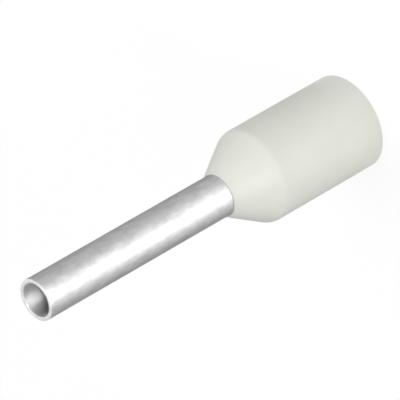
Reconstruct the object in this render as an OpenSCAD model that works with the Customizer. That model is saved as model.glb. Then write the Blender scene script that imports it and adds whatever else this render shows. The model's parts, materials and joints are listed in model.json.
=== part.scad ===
// Insulated wire-end ferrule for a fine-stranded conductor. A thin drawn sleeve
// holds the bare strands, and its flared mouth seats in the funnel of a moulded
// collar, which takes the end of the wire's insulation.
// The ferrule stands on the collar's open end, on its axis, with the tip up.

/* [Lengths] */
// Overall length, from the collar's open end to the tip of the sleeve
overall_length = 14; // [12.5:0.5:20]
// Length of bare sleeve that stands out of the collar
pin_length = 8.05; // [5:0.05:9]

/* [Sleeve] */
// Bore of the sleeve, for the bare strands
sleeve_bore = 1.2; // [0.9:0.05:1.4]
// Wall of the sleeve
sleeve_wall = 0.14; // [0.08:0.01:0.2]
// Length of the flared mouth, measured along the axis
flare_length = 0.8; // [0.4:0.05:1]
// Inside radius of the bend where the flare begins, on the collar's side
flare_bend_r = 0.25; // [0.05:0.05:0.5]
// Rounding of the sleeve's two cut ends
sleeve_edge_r = 0.04; // [0.01:0.01:0.06]

/* [Collar] */
// Bore of the collar, for the wire's insulation
collar_bore = 2.8; // [2.6:0.05:3.2]
// Wall of the collar's straight skirt
collar_wall = 0.265; // [0.175:0.005:0.5]
// Length of the conical shoulder, measured along the axis
shoulder_length = 1.5; // [1.2:0.1:2]
// Wall of the conical shoulder, measured square to it
shoulder_wall = 0.3; // [0.2:0.05:0.4]
// Rounding where the shoulder meets the skirt
shoulder_edge_r = 0.4; // [0.05:0.05:0.6]
// Width of the collar's small end face round the sleeve
neck_lip = 0.02; // [0.01:0.01:0.15]
// Rounding of the open end's outer edge
rim_edge_r = 0.06; // [0.02:0.01:0.07]
// Rounding of the open end's inner edge, which leads the wire in
lead_in_r = 0.08; // [0.02:0.01:0.1]
// Rounding between the collar's bore and its funnel
funnel_edge_r = 0.3; // [0.05:0.05:0.5]

/* [Fit] */
// Gap between the sleeve and the collar that grips it
grip_gap = 0.01; // [0:0.005:0.03]

/* [Hidden] */

// Steps in each rounded edge, and in a full turn
edge_steps = 8;
turn_steps = 128;

sleeve_r = sleeve_bore / 2 + sleeve_wall;
grip_r = sleeve_r + grip_gap;
bore_r = collar_bore / 2;
skirt_r = bore_r + collar_wall;

collar_length = overall_length - pin_length;
shoulder_z = collar_length - shoulder_length;
neck_r = grip_r + neck_lip;

// The shoulder, the funnel inside it and the sleeve's flare share one half-angle.
cone_angle = atan((skirt_r - neck_r) / shoulder_length);
// Height at which the funnel's surface has a given radius
function funnel_z(r) = collar_length - (r + shoulder_wall / cos(cone_angle) - neck_r) / tan(cone_angle);

// The flare lies on the funnel, a grip gap away from it. These are the corners
// that its bend rounds, on the collar's side and on the strands' side.
bend_z = funnel_z(grip_r) - grip_gap * tan(cone_angle / 2);
inner_bend_z = bend_z - sleeve_wall * tan(cone_angle / 2);
mouth_r = sleeve_r + flare_length * tan(cone_angle);
mouth_z = bend_z - flare_length;
inner_mouth_r = mouth_r - sleeve_wall * cos(cone_angle);
inner_mouth_z = mouth_z - sleeve_wall * sin(cone_angle);

function unit(v) = v / norm(v);

// Points of one rounded corner. The round is kept within half of each side.
function corner_arc(before, corner, after, round_r) =
    round_r == 0 ? [corner] :
    let (
        u = unit(before - corner),
        v = unit(after - corner),
        half = acos(u * v) / 2,
        room = min(norm(before - corner), norm(after - corner)) / 2,
        r = min(round_r, room * tan(half)),
        centre = corner + unit(u + v) * r / sin(half),
        side = unit(corner - centre),
        across = [-side[1], side[0]],
        turn = sign(across * (v - u)) * (90 - half)
    )
    [for (i = [0 : edge_steps])
        let (a = turn * (2 * i / edge_steps - 1))
        centre + r * (side * cos(a) + across * sin(a))];

// Closed outline from corners given as [distance from the axis, height, rounding]
function rounded(corners) =
    let (n = len(corners), p = [for (c = corners) [c[0], c[1]]])
    [for (i = [0 : n - 1]) each corner_arc(p[(i + n - 1) % n], p[i], p[(i + 1) % n], corners[i][2])];

module turned(corners) {
    rotate_extrude($fn = turn_steps) polygon(rounded(corners));
}

// Tin-plated copper tube, cut square at the tip and flared at its inner end
module crimp_sleeve() {
    color([0.76, 0.76, 0.77])
        turned([
            [sleeve_r, overall_length, sleeve_edge_r],
            [sleeve_bore / 2, overall_length, sleeve_edge_r],
            [sleeve_bore / 2, inner_bend_z, flare_bend_r + sleeve_wall],
            [inner_mouth_r, inner_mouth_z, sleeve_edge_r],
            [mouth_r, mouth_z, sleeve_edge_r],
            [sleeve_r, bend_z, flare_bend_r]
        ]);
}

// Moulded collar: skirt, conical shoulder, and a funnel that holds the flare
module insulating_collar() {
    color([0.88, 0.89, 0.85])
        turned([
            [skirt_r, 0, rim_edge_r],
            [skirt_r, shoulder_z, shoulder_edge_r],
            [neck_r, collar_length, 0],
            [grip_r, collar_length, 0],
            [grip_r, funnel_z(grip_r), flare_bend_r - grip_gap],
            [bore_r, funnel_z(bore_r), funnel_edge_r],
            [bore_r, 0, lead_in_r]
        ]);
}

crimp_sleeve();
insulating_collar();
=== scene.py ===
"""Insulated wire-end ferrule, standing on a pale table in soft studio light.

A tin-plated copper sleeve is seated in the funnel of a moulded collar. Both
pieces are turned forms: a ring of edges is extruded from corner to corner of
the piece's section, closed on itself, and its corners are then rounded.
Pieces are modelled in millimetres and brought to the frame's metres at the end.
"""

import json
import logging
import math
from dataclasses import dataclass, field
from enum import Enum
from typing import Any, NamedTuple

import bmesh
import bpy
from mathutils import Matrix, Vector


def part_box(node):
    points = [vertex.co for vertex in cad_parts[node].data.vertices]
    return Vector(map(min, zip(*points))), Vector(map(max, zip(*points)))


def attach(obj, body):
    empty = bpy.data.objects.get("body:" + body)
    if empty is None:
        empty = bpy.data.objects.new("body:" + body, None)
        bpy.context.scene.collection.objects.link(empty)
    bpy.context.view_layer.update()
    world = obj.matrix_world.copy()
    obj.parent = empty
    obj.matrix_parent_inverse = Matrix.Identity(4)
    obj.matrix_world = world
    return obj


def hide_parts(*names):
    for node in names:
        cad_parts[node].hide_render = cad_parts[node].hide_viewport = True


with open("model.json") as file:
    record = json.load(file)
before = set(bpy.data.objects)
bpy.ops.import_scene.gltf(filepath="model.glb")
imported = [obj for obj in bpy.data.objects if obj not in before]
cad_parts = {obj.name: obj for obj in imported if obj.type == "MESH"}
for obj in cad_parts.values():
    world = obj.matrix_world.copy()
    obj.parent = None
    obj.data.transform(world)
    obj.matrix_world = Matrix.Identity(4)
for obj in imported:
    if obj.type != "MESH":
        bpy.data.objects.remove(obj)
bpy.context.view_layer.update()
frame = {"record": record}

log = logging.getLogger("wire_ferrule")

MM = 0.001
BODY = "root"


class Slot(Enum):
    """The record's material slots."""

    TINNED_COPPER = "tinned_copper"
    WHITE_POLYPROPYLENE = "white_polypropylene"


class Corner(NamedTuple):
    """One corner of a turned section.

    Attributes:
        radius: Distance from the axis, in millimetres.
        height: Height above the table, in millimetres.
        rounding: Radius of the round on the corner, in millimetres.
    """

    radius: float
    height: float
    rounding: float

    def vector(self) -> Vector:
        """Returns the corner as a flat vector of radius and height."""
        return Vector((self.radius, self.height))


@dataclass(frozen=True)
class FrameSizes:
    """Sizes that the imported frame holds, in millimetres.

    Attributes:
        overall_length: Height of the standing ferrule.
        collar_length: Height of the moulded collar.
        skirt_radius: Outside radius of the collar's skirt.
        collar_bore_radius: Radius of the bore for the wire's insulation.
        sleeve_radius: Outside radius of the sleeve.
        sleeve_bore_radius: Radius of the bore for the strands.
    """

    overall_length: float
    collar_length: float
    skirt_radius: float
    collar_bore_radius: float
    sleeve_radius: float
    sleeve_bore_radius: float

    @classmethod
    def from_frame(cls, record: dict[str, Any]) -> "FrameSizes":
        """Reads the sizes from the nodes' boxes and the record's mounts.

        Args:
            record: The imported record.

        Returns:
            The sizes, in millimetres.
        """
        radius = {m["name"]: m["dims"].get("r_mm") for m in record["mounts"]}
        collar_low, collar_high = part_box("insulating_collar")
        return cls(
            overall_length=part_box("crimp_sleeve")[1].z / MM,
            collar_length=collar_high.z / MM,
            skirt_radius=(collar_high.x - collar_low.x) / 2 / MM,
            collar_bore_radius=radius["insulation_bore"],
            sleeve_radius=radius["sleeve_pin"],
            sleeve_bore_radius=radius["conductor_bore"],
        )


@dataclass(frozen=True)
class Shoulder:
    """The conical seat that the collar's shoulder, its funnel and the flare share.

    Attributes:
        sizes: The frame's sizes.
        length: Length of the shoulder along the axis, in millimetres.
        wall: Wall of the shoulder, square to it, in millimetres.
        lip: Width of the small end face round the sleeve, in millimetres.
        grip_gap: Gap between the sleeve and the collar, in millimetres.
    """

    sizes: FrameSizes
    length: float = 1.5
    wall: float = 0.3
    lip: float = 0.02
    grip_gap: float = 0.01

    @property
    def grip_radius(self) -> float:
        """Returns the radius of the hole that grips the sleeve."""
        return self.sizes.sleeve_radius + self.grip_gap

    @property
    def neck_radius(self) -> float:
        """Returns the collar's outside radius where the sleeve comes out."""
        return self.grip_radius + self.lip

    @property
    def angle(self) -> float:
        """Returns the half-angle of the cones, in radians."""
        return math.atan((self.sizes.skirt_radius - self.neck_radius) / self.length)

    def funnel_height(self, radius: float) -> float:
        """Gives the height at which the funnel's surface has a radius.

        Args:
            radius: Distance from the axis, in millimetres.

        Returns:
            The height above the table, in millimetres.
        """
        across = radius + self.wall / math.cos(self.angle) - self.neck_radius
        return self.sizes.collar_length - across / math.tan(self.angle)


class Modeller:
    """Operators on one piece at a time, used as by hand.

    Attributes:
        reach: How far a vertex may be from the place where it is looked for, in millimetres.
        bore_margin: How far past a bore's radius its faces still belong to it, in millimetres.
        merge_distance: How near vertices are that become one, in millimetres.
        crease: Angle past which an edge stays sharp, in degrees.
    """

    reach: float = 1e-4
    bore_margin: float = 1e-3
    merge_distance: float = 1e-5
    crease: float = 30

    @staticmethod
    def start_ring(name: str, corner: Corner, segments: int) -> bpy.types.Object:
        """Adds an open ring of edges and enters edit mode on it.

        Args:
            name: Name of the piece.
            corner: Corner of the section where the ring lies.
            segments: Number of edges in the ring.

        Returns:
            The new object, in edit mode with its ring selected.
        """
        bpy.ops.object.select_all(action="DESELECT")
        bpy.ops.mesh.primitive_circle_add(
            vertices=segments, radius=corner.radius, fill_type="NOTHING", enter_editmode=True
        )
        bpy.ops.transform.translate(value=(0, 0, corner.height))
        piece = bpy.context.object
        piece.name = piece.data.name = name
        return piece

    @staticmethod
    def extrude_to(before: Corner, after: Corner) -> None:
        """Extrudes the selected ring from one corner of the section to the next.

        Args:
            before: Corner where the selected ring lies.
            after: Corner where the new ring goes.
        """
        rise = (0, 0, after.height - before.height)
        bpy.ops.mesh.extrude_edges_move(TRANSFORM_OT_translate={"value": rise})
        widen = after.radius / before.radius
        bpy.ops.transform.resize(value=(widen, widen, 1), center_override=(0, 0, after.height))

    @classmethod
    def select_ring(cls, piece: bpy.types.Object, corner: Corner) -> None:
        """Selects only the ring of edges that lies on a corner.

        Args:
            piece: The object in edit mode.
            corner: Corner of the section.
        """
        bpy.ops.mesh.select_all(action="DESELECT")
        mesh = bmesh.from_edit_mesh(piece.data)
        for edge in mesh.edges:
            if all(
                abs(math.hypot(v.co.x, v.co.y) - corner.radius) < cls.reach
                and abs(v.co.z - corner.height) < cls.reach
                for v in edge.verts
            ):
                edge.select_set(True)
        bmesh.update_edit_mesh(piece.data)

    @classmethod
    def dress_bore(cls, piece: bpy.types.Object, radius: float, material: bpy.types.Material) -> None:
        """Gives the faces of a bore a material of their own.

        Args:
            piece: The finished piece, in metres.
            radius: Radius of the bore with its rounded edge, in millimetres.
            material: The material of the bore.
        """
        piece.data.materials.append(material)
        bpy.ops.object.mode_set(mode="EDIT")
        bpy.ops.mesh.select_all(action="DESELECT")
        mesh = bmesh.from_edit_mesh(piece.data)
        within = (radius + cls.bore_margin) * MM
        for face in mesh.faces:
            if all(math.hypot(v.co.x, v.co.y) < within for v in face.verts):
                face.select_set(True)
        bmesh.update_edit_mesh(piece.data)
        piece.active_material_index = len(piece.data.materials) - 1
        bpy.ops.object.material_slot_assign()
        bpy.ops.object.mode_set(mode="OBJECT")

    @staticmethod
    def apply_modifier(piece: bpy.types.Object, kind: str, **settings: Any) -> None:
        """Adds a modifier to the piece and applies it.

        Args:
            piece: The object, in object mode.
            kind: The modifier's type.
            **settings: Values of the modifier's properties.
        """
        modifier = piece.modifiers.new(kind.title(), kind)
        for key, value in settings.items():
            setattr(modifier, key, value)
        bpy.ops.object.modifier_apply(modifier=modifier.name)

    @classmethod
    def turn(cls, name: str, corners: list[Corner], segments: int, steps: int) -> bpy.types.Object:
        """Turns a closed section round the axis and rounds its corners.

        Args:
            name: Name of the piece.
            corners: The section's corners, in order round it.
            segments: Number of faces round the axis.
            steps: Number of faces across each rounded corner.

        Returns:
            The finished piece, in metres, with its place in its mesh.
        """
        piece = cls.start_ring(name, corners[0], segments)
        for before, after in zip(corners, corners[1:] + corners[:1]):
            cls.extrude_to(before, after)
        bpy.ops.mesh.select_all(action="SELECT")
        bpy.ops.mesh.remove_doubles(threshold=cls.merge_distance)
        bpy.ops.mesh.normals_make_consistent(inside=False)
        ring = corners[-1:] + corners + corners[:1]
        for before, corner, after in zip(ring, ring[1:], ring[2:]):
            if corner.rounding > 0:
                cls.select_ring(piece, corner)
                to_before = before.vector() - corner.vector()
                to_after = after.vector() - corner.vector()
                setback = corner.rounding / math.tan(to_before.angle(to_after) / 2)
                bpy.ops.mesh.bevel(offset=setback, segments=steps, profile=0.5)
        bpy.ops.object.mode_set(mode="OBJECT")
        piece.scale = (MM, MM, MM)
        bpy.ops.object.transform_apply(location=True, rotation=True, scale=True)
        bpy.ops.object.shade_smooth_by_angle(angle=math.radians(cls.crease))
        cls.apply_modifier(piece, "WEIGHTED_NORMAL", mode="FACE_AREA", weight=100, keep_sharp=True)
        return piece


class NodeSheet:
    """A node tree, with short ways to add and join its nodes.

    Attributes:
        middle: The part of a noise pattern, from 0 to 1, that is stretched over a whole range.
    """

    middle: tuple[float, float] = (0.3, 0.7)

    def __init__(self, owner: bpy.types.Material | bpy.types.World) -> None:
        """Empties the node tree of a material or a world.

        Args:
            owner: The material or world.
        """
        self.owner = owner
        owner.use_nodes = True
        self.tree = owner.node_tree
        self.tree.nodes.clear()

    @classmethod
    def of_material(cls, name: str) -> "NodeSheet":
        """Makes an empty material.

        Args:
            name: Name of the material.

        Returns:
            The material's node sheet.
        """
        return cls(bpy.data.materials.new(name))

    def add(self, kind: str, inputs: dict[str, Any] | None = None, **settings: Any) -> bpy.types.Node:
        """Adds a node, sets it and joins what its inputs are given.

        Args:
            kind: The node's type, without its leading "ShaderNode".
            inputs: Values for the node's sockets, or output sockets to join to them.
            **settings: Values of the node's own properties.

        Returns:
            The new node.
        """
        node = self.tree.nodes.new("ShaderNode" + kind)
        for key, value in settings.items():
            setattr(node, key, value)
        for key, value in (inputs or {}).items():
            if isinstance(value, bpy.types.NodeSocket):
                self.tree.links.new(value, node.inputs[key])
            else:
                node.inputs[key].default_value = value
        return node

    def noise(
        self, scale: tuple[float, float, float], detail: float, roughness: float
    ) -> bpy.types.NodeSocket:
        """Adds a noise pattern in the piece's own coordinates.

        Args:
            scale: Patches per millimetre along X, Y and Z.
            detail: Number of finer layers.
            roughness: Share that each finer layer keeps.

        Returns:
            The socket that carries the pattern, from 0 to 1.
        """
        place = self.add("TexCoord").outputs["Object"]
        per_metre = tuple(s / MM for s in scale)
        mapped = self.add("Mapping", {"Vector": place, "Scale": per_metre}).outputs["Vector"]
        inputs = {"Vector": mapped, "Scale": 1.0, "Detail": detail, "Roughness": roughness}
        return self.add("TexNoise", inputs).outputs["Fac"]

    def spread(self, value: bpy.types.NodeSocket, low: float, high: float) -> bpy.types.NodeSocket:
        """Stretches the middle of a pattern over a range of values.

        Args:
            value: The pattern, from 0 to 1.
            low: Value where the pattern is low.
            high: Value where the pattern is high.

        Returns:
            The socket that carries the new values.
        """
        least, most = self.middle
        inputs = {"Value": value, "From Min": least, "From Max": most, "To Min": low, "To Max": high}
        return self.add("MapRange", inputs).outputs["Result"]

    def tint(
        self, value: bpy.types.NodeSocket, low: tuple[float, ...], high: tuple[float, ...]
    ) -> bpy.types.NodeSocket:
        """Turns a pattern into a colour between two colours.

        Args:
            value: The pattern, from 0 to 1.
            low: Linear colour where the pattern is low.
            high: Linear colour where the pattern is high.

        Returns:
            The socket that carries the colour.
        """
        inputs = {"Factor": self.spread(value, 0.0, 1.0), "A": (*low, 1.0), "B": (*high, 1.0)}
        mix = self.add("Mix", inputs, data_type="RGBA")
        return next(s for s in mix.outputs if s.type == "RGBA")

    def bump(self, height: bpy.types.NodeSocket, depth: float) -> bpy.types.NodeSocket:
        """Raises a surface by a pattern.

        Args:
            height: The pattern, from 0 to 1.
            depth: Height of the relief, in millimetres.

        Returns:
            The socket that carries the normal.
        """
        inputs = {"Height": height, "Strength": 1.0, "Distance": depth * MM}
        return self.add("Bump", inputs).outputs["Normal"]

    def finish(self, shader: bpy.types.Node) -> bpy.types.Material:
        """Joins the shader to the output.

        Args:
            shader: The node whose first output is the surface.

        Returns:
            The material.
        """
        self.add("OutputMaterial", {"Surface": shader.outputs[0]})
        return self.owner


@dataclass(frozen=True)
class TinPlate:
    """Satin tin plate on drawn copper, with faint draw lines and mottling.

    Attributes:
        name: What the plate is called.
        light: Linear colour of the brighter plate.
        dull: Linear colour of the duller plate.
        roughness: Lowest and highest roughness.
        mottle: Patches of the plating per millimetre, along X, Y and Z.
        streaks: Draw lines per millimetre, along X, Y and Z.
        streak_depth: Depth of the draw lines, in millimetres.
    """

    name: str = "plate"
    light: tuple[float, float, float] = (0.84, 0.84, 0.85)
    dull: tuple[float, float, float] = (0.64, 0.64, 0.65)
    roughness: tuple[float, float] = (0.28, 0.40)
    mottle: tuple[float, float, float] = (5.0, 5.0, 2.5)
    streaks: tuple[float, float, float] = (22.0, 22.0, 0.7)
    streak_depth: float = 0.0010

    def material(self) -> bpy.types.Material:
        """Returns the material of this plate."""
        sheet = NodeSheet.of_material(f"{Slot.TINNED_COPPER.value}_{self.name}")
        patches = sheet.noise(self.mottle, detail=5.0, roughness=0.6)
        lines = sheet.noise(self.streaks, detail=3.0, roughness=0.55)
        shader = sheet.add("BsdfPrincipled", {
            "Base Color": sheet.tint(patches, self.dull, self.light),
            "Metallic": 1.0,
            "Roughness": sheet.spread(lines, *self.roughness),
            "Normal": sheet.bump(lines, self.streak_depth),
        })
        return sheet.finish(shader)


OUTER_PLATE = TinPlate()
BORE_PLATE = TinPlate(
    name="bore",
    light=(0.77, 0.77, 0.775),
    dull=(0.61, 0.61, 0.615),
    roughness=(0.39, 0.49),
)


@dataclass(frozen=True)
class MouldedPolypropylene:
    """Satin white polypropylene, slightly translucent, with a faint moulded grain.

    Attributes:
        clear: Linear colour of the lighter plastic.
        deep: Linear colour of the slightly denser plastic.
        roughness: Lowest and highest roughness.
        clouds: Patches of colour per millimetre, along X, Y and Z.
        grain: Grains of the moulded surface per millimetre, along X, Y and Z.
        grain_depth: Depth of the grain, in millimetres.
        ior: Refractive index of the plastic.
        glow: Share of the light that travels inside the plastic.
        glow_reach: How far that light travels, in millimetres.
        glow_tint: Share of that distance that red, green and blue light travel.
    """

    clear: tuple[float, float, float] = (0.80, 0.815, 0.745)
    deep: tuple[float, float, float] = (0.77, 0.785, 0.71)
    roughness: tuple[float, float] = (0.36, 0.46)
    clouds: tuple[float, float, float] = (0.8, 0.8, 0.6)
    grain: tuple[float, float, float] = (14.0, 14.0, 14.0)
    grain_depth: float = 0.0012
    ior: float = 1.49
    glow: float = 0.2
    glow_reach: float = 0.25
    glow_tint: tuple[float, float, float] = (1.0, 1.0, 0.85)

    def material(self) -> bpy.types.Material:
        """Returns the material of the collar."""
        sheet = NodeSheet.of_material(Slot.WHITE_POLYPROPYLENE.value + "_moulded")
        haze = sheet.noise(self.clouds, detail=3.0, roughness=0.5)
        grain = sheet.noise(self.grain, detail=4.0, roughness=0.6)
        shader = sheet.add("BsdfPrincipled", {
            "Base Color": sheet.tint(haze, self.deep, self.clear),
            "Roughness": sheet.spread(grain, *self.roughness),
            "IOR": self.ior,
            "Subsurface Weight": self.glow,
            "Subsurface Radius": self.glow_tint,
            "Subsurface Scale": self.glow_reach * MM,
            "Normal": sheet.bump(grain, self.grain_depth),
        })
        return sheet.finish(shader)


@dataclass
class TurnedPiece:
    """A piece of the ferrule that is round about its axis.

    Attributes:
        shoulder: The conical seat that both pieces share.
        segments: Number of faces round the axis.
        steps: Number of faces across each rounded corner.
        name: What the piece is called.
        node: The node of the frame that it stands for.
        slot: The material slot that it takes its finish from.
    """

    shoulder: Shoulder
    segments: int = 192
    steps: int = 8
    name: str = field(init=False)
    node: str = field(init=False)
    slot: Slot = field(init=False)

    def corners(self) -> list[Corner]:
        """Returns the section's corners, in order round it."""
        raise NotImplementedError

    def finish(self) -> bpy.types.Material:
        """Returns the piece's material."""
        raise NotImplementedError

    def build(self) -> bpy.types.Object:
        """Models, dresses and seats the piece in the frame.

        Returns:
            The finished piece.
        """
        piece = Modeller.turn(self.name, self.corners(), self.segments, self.steps)
        piece.data.materials.append(self.finish())
        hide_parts(self.node)
        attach(piece, BODY)
        return piece


@dataclass
class CrimpSleeve(TurnedPiece):
    """Drawn tube, cut square at the tip and flared at its inner end.

    Attributes:
        flare_length: Length of the flared mouth along the axis, in millimetres.
        bend_radius: Inside radius of the bend where the flare begins.
        edge_radius: Rounding of the two cut ends, sharper than the frame's, so that the rim stays grey.
    """

    flare_length: float = 0.8
    bend_radius: float = 0.25
    edge_radius: float = 0.015

    def __post_init__(self) -> None:
        """Sets what the piece is called and what it stands for."""
        self.name = "sleeve_tin_plated"
        self.node = "crimp_sleeve"
        self.slot = Slot.TINNED_COPPER

    def corners(self) -> list[Corner]:
        """Returns the section's corners, from the tip's outer edge inwards."""
        seat, sizes = self.shoulder, self.shoulder.sizes
        wall = sizes.sleeve_radius - sizes.sleeve_bore_radius
        half_turn = math.tan(seat.angle / 2)
        bend = seat.funnel_height(seat.grip_radius) - seat.grip_gap * half_turn
        mouth_radius = sizes.sleeve_radius + self.flare_length * math.tan(seat.angle)
        mouth = bend - self.flare_length
        return [
            Corner(sizes.sleeve_radius, sizes.overall_length, self.edge_radius),
            Corner(sizes.sleeve_bore_radius, sizes.overall_length, self.edge_radius),
            Corner(sizes.sleeve_bore_radius, bend - wall * half_turn, self.bend_radius + wall),
            Corner(
                mouth_radius - wall * math.cos(seat.angle),
                mouth - wall * math.sin(seat.angle),
                self.edge_radius,
            ),
            Corner(mouth_radius, mouth, self.edge_radius),
            Corner(sizes.sleeve_radius, bend, self.bend_radius),
        ]

    def finish(self) -> bpy.types.Material:
        """Returns the tin plate of the outside."""
        return OUTER_PLATE.material()

    def build(self) -> bpy.types.Object:
        """Models the sleeve and dresses its bore, which is duller than its outside.

        Returns:
            The finished sleeve.
        """
        piece = super().build()
        bore = self.shoulder.sizes.sleeve_bore_radius + self.edge_radius
        Modeller.dress_bore(piece, bore, BORE_PLATE.material())
        return piece


@dataclass
class InsulatingCollar(TurnedPiece):
    """Moulded collar: skirt, conical shoulder, and a funnel that holds the flare.

    Attributes:
        shoulder_edge: Rounding where the shoulder meets the skirt, in millimetres.
        rim_edge: Rounding of the open end's outer edge.
        lead_in: Rounding of the open end's inner edge.
        bend_radius: Inside radius of the sleeve's bend, which the funnel follows.
        funnel_edge: Rounding between the bore and the funnel.
    """

    shoulder_edge: float = 0.4
    rim_edge: float = 0.06
    lead_in: float = 0.08
    bend_radius: float = 0.25
    funnel_edge: float = 0.3

    def __post_init__(self) -> None:
        """Sets what the piece is called and what it stands for."""
        self.name = "collar_moulded"
        self.node = "insulating_collar"
        self.slot = Slot.WHITE_POLYPROPYLENE

    def corners(self) -> list[Corner]:
        """Returns the section's corners, from the open end's outer edge upwards."""
        seat, sizes = self.shoulder, self.shoulder.sizes
        bore = sizes.collar_bore_radius
        grip = seat.grip_radius
        return [
            Corner(sizes.skirt_radius, 0, self.rim_edge),
            Corner(sizes.skirt_radius, sizes.collar_length - seat.length, self.shoulder_edge),
            Corner(seat.neck_radius, sizes.collar_length, 0),
            Corner(grip, sizes.collar_length, 0),
            Corner(grip, seat.funnel_height(grip), self.bend_radius - seat.grip_gap),
            Corner(bore, seat.funnel_height(bore), self.funnel_edge),
            Corner(bore, 0, self.lead_in),
        ]

    def finish(self) -> bpy.types.Material:
        """Returns the moulded plastic."""
        return MouldedPolypropylene().material()


@dataclass(frozen=True)
class StudioLamp:
    """A rectangular lamp that faces the ferrule.

    Attributes:
        name: Name of the lamp.
        azimuth: Direction from its target, in degrees; 0 is towards the camera, 90 towards +X.
        elevation: Height above the horizon, in degrees.
        distance: Distance from its target, in millimetres.
        width: Width of the lamp, in millimetres.
        height: Height of the lamp, in millimetres.
        radiance: How bright its face is, where 1 is white.
        beam: Full angle of the beam, in degrees; 180 is a soft lamp with no grid.
    """

    name: str
    azimuth: float
    elevation: float
    distance: float
    width: float
    height: float
    radiance: float
    beam: float = 180

    def place(self, target: Vector) -> bpy.types.Object:
        """Adds the lamp to the scene.

        Args:
            target: Point that the lamp faces, in metres.

        Returns:
            The lamp.
        """
        away = Studio.towards(self.azimuth, self.elevation)
        data = bpy.data.lights.new(self.name, "AREA")
        data.shape = "RECTANGLE"
        data.size = self.width * MM
        data.size_y = self.height * MM
        data.energy = math.pi * data.size * data.size_y * self.radiance
        data.spread = math.radians(self.beam)
        lamp = bpy.data.objects.new(self.name, data)
        bpy.context.scene.collection.objects.link(lamp)
        lamp.location = target + away * self.distance * MM
        lamp.rotation_mode = "QUATERNION"
        lamp.rotation_quaternion = away.to_track_quat("Z", "Y")
        lamp.visible_camera = False
        log.info("lamp %s", lamp.name)
        return lamp


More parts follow.
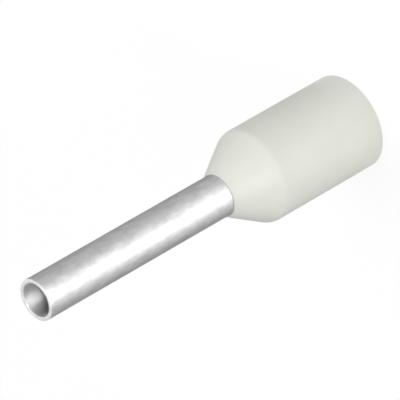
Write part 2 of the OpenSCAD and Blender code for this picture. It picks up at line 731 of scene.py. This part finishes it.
@dataclass(frozen=True)
class Studio:
    """Pale table, white surroundings, soft lamps and the card that the metal mirrors.

    Attributes:
        floor_size: Side of the table, in millimetres.
        floor_tone: Linear grey of the table under the lamps.
        floor_white: Share of plain white that eyes and mirrors see in the table.
        floor_lift: Brightness of that white, which makes up for the paper's own grey.
        floor_grain: Patches of the table's paper per millimetre, along X, Y and Z.
        floor_fleck: Share of its tone that the paper keeps in its darker patches.
        ambient: Brightness of the surroundings as light.
        card_inner: Inner radius of the mirrored card, in millimetres.
        card_outer: Outer radius of the mirrored card, in millimetres.
        card_height: Height of the card above the table, in millimetres.
        card_sides: Number of sides of the card.
        card_dims: Radii between which the card dims, in millimetres.
        card_outer_tone: Share of its brightness that the card keeps beyond them.
        card_tones: Azimuth in degrees and brightness round the card.
        lamps: The soft lamps, which face the middle of the ferrule.
        snoot: The small narrow lamp that shines only into the mouth of the sleeve.
    """

    floor_size: float = 3000
    floor_tone: float = 0.75
    floor_white: float = 0.80
    floor_lift: float = 1.08
    floor_grain: tuple[float, float, float] = (0.2, 0.2, 0.2)
    floor_fleck: float = 0.98
    ambient: float = 0.6
    card_inner: float = 2.2
    card_outer: float = 80
    card_height: float = 0.05
    card_sides: int = 96
    card_dims: tuple[float, float] = (33, 44)
    card_outer_tone: float = 0.55
    card_tones: tuple[tuple[float, float], ...] = (
        (-180, 0.34), (-150, 0.30), (-124, 0.38), (-92, 0.54), (-62, 0.92), (-38, 1.7), (-8, 1.7),
        (20, 1.10), (45, 0.70), (89, 0.53), (124, 0.42), (150, 0.30), (180, 0.34),
    )
    # Each lamp's name, azimuth, elevation, distance, width, height and radiance
    lamps: tuple[StudioLamp, ...] = (
        StudioLamp("key", -22, 15, 160, 120, 120, 2.45),
        StudioLamp("top", 77, 70, 180, 100, 100, 3.7),
        StudioLamp("back_fill", 150, 35, 200, 140, 100, 0.8),
    )
    snoot: StudioLamp = StudioLamp("snoot", -14, 28, 5, 0.8, 0.8, 6.3, beam=12)

    @staticmethod
    def towards(azimuth: float, elevation: float) -> Vector:
        """Gives the direction from the ferrule to a place round it.

        Args:
            azimuth: Degrees from the camera's side, -Y, towards +X.
            elevation: Degrees above the horizon.

        Returns:
            A vector of length 1.
        """
        turn, lift = math.radians(azimuth), math.radians(elevation)
        flat = math.cos(lift)
        return Vector((math.sin(turn) * flat, -math.cos(turn) * flat, math.sin(lift)))

    @staticmethod
    def seen(sheet: NodeSheet) -> bpy.types.NodeSocket:
        """Tells rays that see the surroundings from rays that light the ferrule.

        Args:
            sheet: The node tree to add to.

        Returns:
            A socket that is 1 for camera, glossy and transmission rays.
        """
        path = sheet.add("LightPath").outputs
        direct = {0: path["Is Camera Ray"], 1: path["Is Glossy Ray"]}
        direct_ray = sheet.add("Math", direct, operation="MAXIMUM").outputs[0]
        through = {0: direct_ray, 1: path["Is Transmission Ray"]}
        return sheet.add("Math", through, operation="MAXIMUM").outputs[0]

    def floor(self) -> bpy.types.Object:
        """Lays the pale table, which keeps the ferrule's shadow.

        Returns:
            The table.
        """
        bpy.ops.object.select_all(action="DESELECT")
        bpy.ops.mesh.primitive_plane_add(size=self.floor_size * MM)
        table = bpy.context.object
        table.name = "table"
        sheet = NodeSheet.of_material("pale_table")
        grain = sheet.noise(self.floor_grain, detail=3.0, roughness=0.5)
        tone = (self.floor_tone,) * 3
        fleck = tuple(t * self.floor_fleck for t in tone)
        paper = sheet.add("BsdfDiffuse", {"Color": sheet.tint(grain, fleck, tone)})
        white = sheet.add("Emission", {"Strength": self.floor_lift})
        share = sheet.add("Math", {0: self.seen(sheet), 1: self.floor_white}, operation="MULTIPLY")
        mix = sheet.add("MixShader", {0: share.outputs[0], 1: paper.outputs[0], 2: white.outputs[0]})
        table.data.materials.append(sheet.finish(mix))
        return table

    def card(self) -> bpy.types.Object:
        """Lays a graded ring of card round the ferrule, which only mirrors see.

        Returns:
            The card.
        """
        bpy.ops.object.select_all(action="DESELECT")
        bpy.ops.mesh.primitive_circle_add(
            vertices=self.card_sides, radius=self.card_inner * MM, fill_type="NOTHING",
            location=(0, 0, self.card_height * MM), enter_editmode=True,
        )
        bpy.ops.mesh.extrude_edges_move()
        widen = self.card_outer / self.card_inner
        bpy.ops.transform.resize(value=(widen, widen, 1))
        bpy.ops.object.mode_set(mode="OBJECT")
        card = bpy.context.object
        card.name = "graded_card"
        sheet = NodeSheet.of_material("graded_card")
        place = sheet.add("TexCoord").outputs["Object"]
        # The radial gradient starts on -X, so it is turned to start at azimuth -180, on +Y.
        turned = sheet.add("Mapping", {"Vector": place, "Rotation": (0, 0, math.pi / 2)})
        sweep = sheet.add("TexGradient", {"Vector": turned.outputs[0]}, gradient_type="RADIAL")
        ramp = sheet.add("ValToRGB", {"Fac": sweep.outputs["Fac"]})
        ramp.color_ramp.interpolation = "EASE"
        brightest = max(tone for _, tone in self.card_tones)
        stops = ramp.color_ramp.elements
        while len(stops) < len(self.card_tones):
            stops.new(0.5)
        for stop, (azimuth, tone) in zip(stops, self.card_tones):
            stop.position = (azimuth + 180) / 360
            stop.color = (*(tone / brightest,) * 3, 1)
        # Beyond its inner part the card dims, so that low viewpoints see no glare in the sleeve.
        reach = sheet.add("VectorMath", {0: place}, operation="LENGTH").outputs["Value"]
        near, far = (r * MM for r in self.card_dims)
        strength = sheet.add("MapRange", {
            "Value": reach, "From Min": near, "From Max": far,
            "To Min": brightest, "To Max": brightest * self.card_outer_tone,
        }).outputs["Result"]
        glow = sheet.add("Emission", {"Color": ramp.outputs["Color"], "Strength": strength})
        card.data.materials.append(sheet.finish(glow))
        card.visible_camera = False
        card.visible_diffuse = False
        card.visible_transmission = False
        card.visible_shadow = False
        return card

    def surroundings(self) -> None:
        """Sets the world: soft light, and white where it is seen."""
        world = bpy.data.worlds.new("surroundings")
        bpy.context.scene.world = world
        sheet = NodeSheet(world)
        inputs = {"Value": self.seen(sheet), "To Min": self.ambient, "To Max": 1.0}
        strength = sheet.add("MapRange", inputs).outputs["Result"]
        glow = sheet.add("Background", {"Strength": strength})
        sheet.add("OutputWorld", {"Surface": glow.outputs[0]})

    def build(self, centre: Vector, mouth: Vector) -> None:
        """Sets up the whole studio.

        Args:
            centre: Middle of the ferrule, in metres.
            mouth: Middle of the sleeve's open tip, in metres.
        """
        self.surroundings()
        self.floor()
        self.card()
        for lamp in self.lamps:
            lamp.place(centre)
        self.snoot.place(mouth)


@dataclass(frozen=True)
class Viewpoint:
    """Where the camera stands and how it is turned.

    Attributes:
        elevation: Height above the horizon, in degrees.
        roll: How far the ferrule leans to the left in the frame, in degrees.
        distance: Distance from the point that it looks at, in millimetres.
        aim: The point that it looks at, in millimetres.
        field: Width of the view at that distance, in millimetres.
        sensor: Width of the camera's sensor, in millimetres.
        clip: Nearest and furthest distance that the camera sees, in metres.
    """

    elevation: float = 33.75
    roll: float = 119.87
    distance: float = 204.1
    aim: tuple[float, float, float] = (0.1665, 0.0, 6.651)
    field: float = 12.98
    sensor: float = 36.0
    clip: tuple[float, float] = (0.01, 10)

    def place(self) -> bpy.types.Object:
        """Adds the camera and makes it the scene's.

        Returns:
            The camera.
        """
        data = bpy.data.cameras.new("camera")
        data.sensor_width = self.sensor
        data.lens = self.sensor * self.distance / self.field
        data.clip_start, data.clip_end = self.clip
        camera = bpy.data.objects.new("camera", data)
        bpy.context.scene.collection.objects.link(camera)
        away = Studio.towards(0, self.elevation)
        upright = away.to_track_quat("Z", "Y").to_matrix().to_4x4()
        roll = Matrix.Rotation(math.radians(-self.roll), 4, "Z")
        stand = Matrix.Translation((Vector(self.aim) + away * self.distance) * MM)
        camera.matrix_world = stand @ upright @ roll
        bpy.context.scene.camera = camera
        return camera


def main() -> None:
    """Builds the ferrule and its studio, in order."""
    logging.basicConfig(level=logging.INFO, format="%(name)s: %(message)s")
    bpy.context.scene.view_settings.view_transform = "Standard"
    Viewpoint().place()
    sizes = FrameSizes.from_frame(frame["record"])
    shoulder = Shoulder(sizes)
    for part in (CrimpSleeve(shoulder), InsulatingCollar(shoulder)):
        piece = part.build()
        log.info("%s: %d faces", piece.name, len(piece.data.polygons))
    tip = Vector((0, 0, sizes.overall_length * MM))
    Studio().build(tip / 2, tip)


if __name__ == "__main__":
    main()
